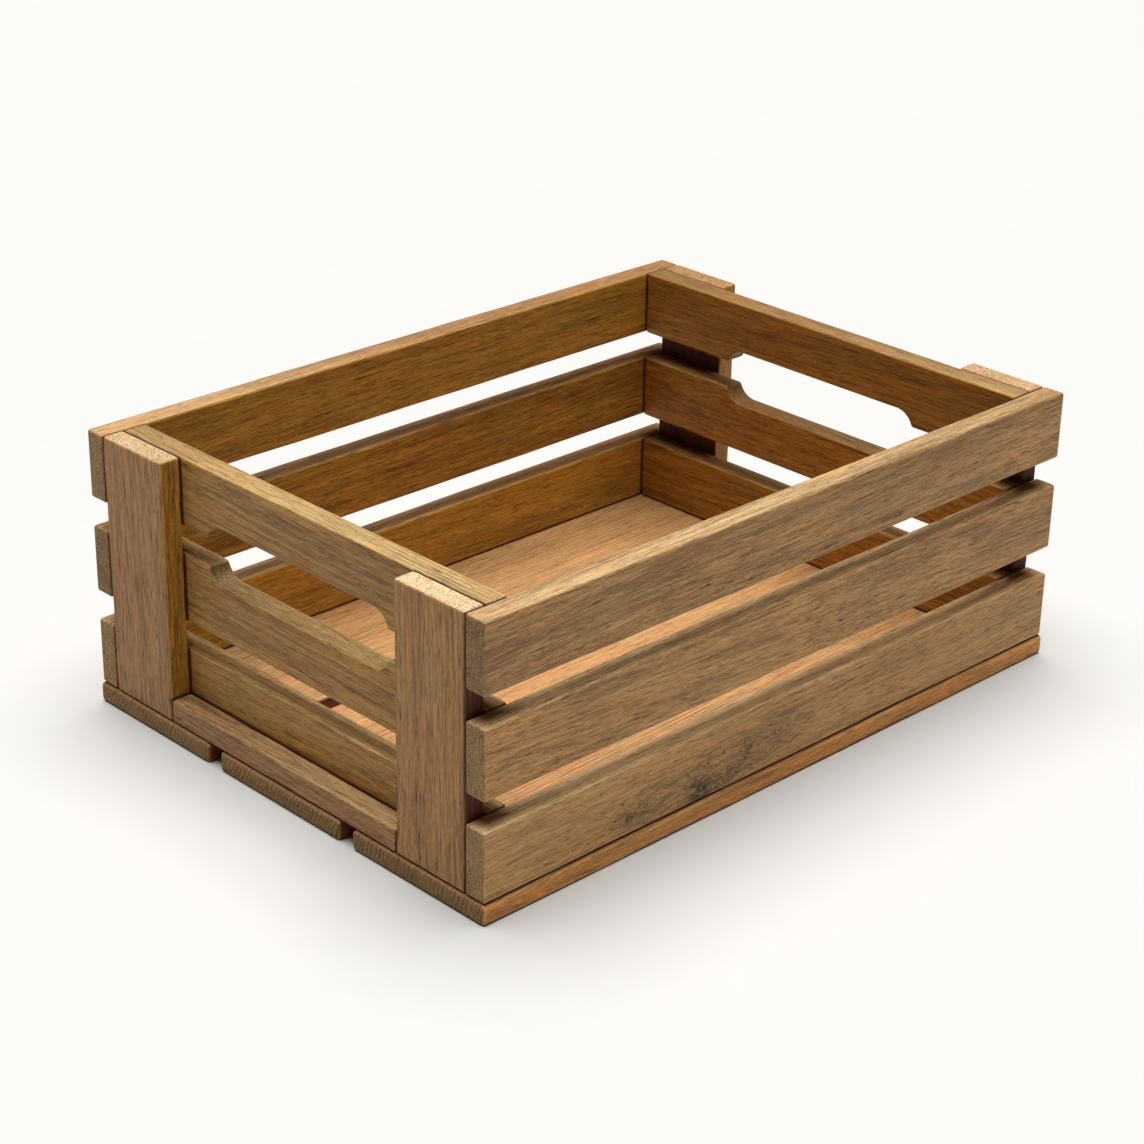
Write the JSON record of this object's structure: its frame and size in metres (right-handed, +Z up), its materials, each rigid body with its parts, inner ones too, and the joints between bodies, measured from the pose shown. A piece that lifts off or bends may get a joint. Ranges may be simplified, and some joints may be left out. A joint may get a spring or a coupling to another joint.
{
  "type": "wooden apple crate",
  "caption": "Open rectangular slatted hardwood crate with upright corner posts, spaced side and end slats, a boarded bottom and a hand-hole in each end.",
  "frame": {"origin": "bottom centre of the crate, on the surface it stands on", "axes": "+X along the crate towards its right end, +Y across it towards the back long side, +Z up"},
  "size_m": [0.43, 0.31, 0.159],
  "materials": {
    "side_teak": "oiled, planed, eased edges",
    "end_teak": "oiled, planed, eased edges",
    "post_teak": "oiled, planed, eased edges",
    "floor_teak": "oiled, planed, rounded long edges",
    "dowel_beech": "turned, bare",
    "screw_steel": "stainless, machined"
  },
  "bodies": {
    "root": {"bottom_board_front": "floor_teak", "bottom_board_middle": "floor_teak", "bottom_board_back": "floor_teak", "side_slat_front_bottom": "side_teak", "side_slat_front_middle": "side_teak", "side_slat_front_top": "side_teak", "side_slat_back_bottom": "side_teak", "side_slat_back_middle": "side_teak", "side_slat_back_top": "side_teak", "end_slat_left_bottom": "end_teak", "end_slat_left_middle": "end_teak", "end_slat_left_top": "end_teak", "end_slat_right_bottom": "end_teak", "end_slat_right_middle": "end_teak", "end_slat_right_top": "end_teak", "post_left_front": "post_teak", "post_left_back": "post_teak", "post_right_front": "post_teak", "post_right_back": "post_teak", "end_rail_left": "post_teak", "end_rail_right": "post_teak", "side_dowel_left_front_bottom": "dowel_beech", "side_dowel_left_front_middle": "dowel_beech", "side_dowel_left_front_top": "dowel_beech", "side_dowel_left_back_bottom": "dowel_beech", "side_dowel_left_back_middle": "dowel_beech", "side_dowel_left_back_top": "dowel_beech", "side_dowel_right_front_bottom": "dowel_beech", "side_dowel_right_front_middle": "dowel_beech", "side_dowel_right_front_top": "dowel_beech", "side_dowel_right_back_bottom": "dowel_beech", "side_dowel_right_back_middle": "dowel_beech", "side_dowel_right_back_top": "dowel_beech", "end_dowel_left_front_bottom": "dowel_beech", "end_dowel_left_front_middle": "dowel_beech", "end_dowel_left_front_top": "dowel_beech", "end_dowel_left_back_bottom": "dowel_beech", "end_dowel_left_back_middle": "dowel_beech", "end_dowel_left_back_top": "dowel_beech", "end_dowel_right_front_bottom": "dowel_beech", "end_dowel_right_front_middle": "dowel_beech", "end_dowel_right_front_top": "dowel_beech", "end_dowel_right_back_bottom": "dowel_beech", "end_dowel_right_back_middle": "dowel_beech", "end_dowel_right_back_top": "dowel_beech", "screw_left_front_board_front": "screw_steel", "screw_left_front_board_back": "screw_steel", "screw_left_middle_board_front": "screw_steel", "screw_left_middle_board_back": "screw_steel", "screw_left_back_board_front": "screw_steel", "screw_left_back_board_back": "screw_steel", "screw_right_front_board_front": "screw_steel", "screw_right_front_board_back": "screw_steel", "screw_right_middle_board_front": "screw_steel", "screw_right_middle_board_back": "screw_steel", "screw_right_back_board_front": "screw_steel", "screw_right_back_board_back": "screw_steel"}
  },
  "joints": []
}
